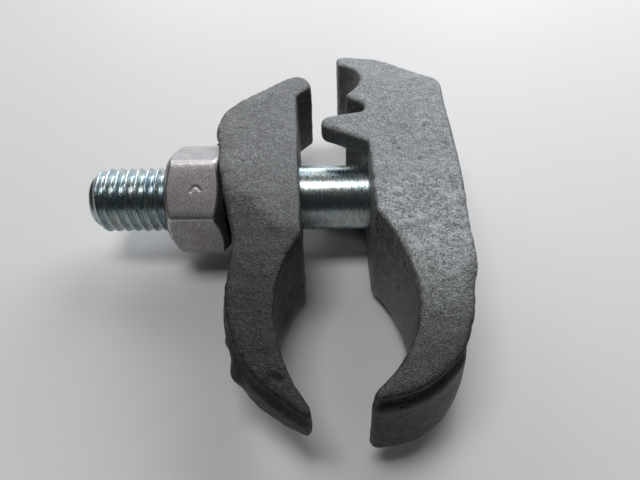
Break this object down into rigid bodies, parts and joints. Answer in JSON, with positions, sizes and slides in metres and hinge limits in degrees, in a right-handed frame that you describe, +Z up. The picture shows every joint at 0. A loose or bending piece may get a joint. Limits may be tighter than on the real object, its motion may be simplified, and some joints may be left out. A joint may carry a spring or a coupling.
{
  "type": "cast pipe clamp",
  "caption": "Cast two-jaw pipe clamp closed by a hex bolt and nut, with a toe-and-groove fulcrum and curved arms that grip a pipe.",
  "frame": {"origin": "on the surface the clamp lies on, under the middle of its own box", "axes": "+X along the bolt from the nut to the head; +Y from the pipe arms to the toe; +Z up, out of the side it lies on"},
  "size_m": [0.0706, 0.0852, 0.025],
  "materials": {
    "galvanised_casting": "hot-dip galvanised sand casting, matt grey",
    "bright_zinc": "bright bluish zinc plate",
    "dull_zinc": "satin zinc plate"
  },
  "bodies": {
    "fixed": {"fixed_jaw": "galvanised_casting", "bolt": "bright_zinc"},
    "moving": {"moving_jaw": "galvanised_casting"},
    "nut": {"hex_nut": "dull_zinc"}
  },
  "joints": [
    {"name": "jaw_slide", "type": "slide", "parent": "fixed", "child": "moving", "axis": [1, 0, 0], "range_m": [-0.01465, 0.0039]},
    {"name": "nut_turn", "type": "hinge", "parent": "moving", "child": "nut", "pos_m": [0, 0.00535, 0.0125], "axis": [1, 0, 0], "range_deg": [-2700, 720]}
  ],
  "couplings": [
    {"joint": "nut_turn", "follows": "jaw_slide", "rad_per_m": 3215.8}
  ]
}
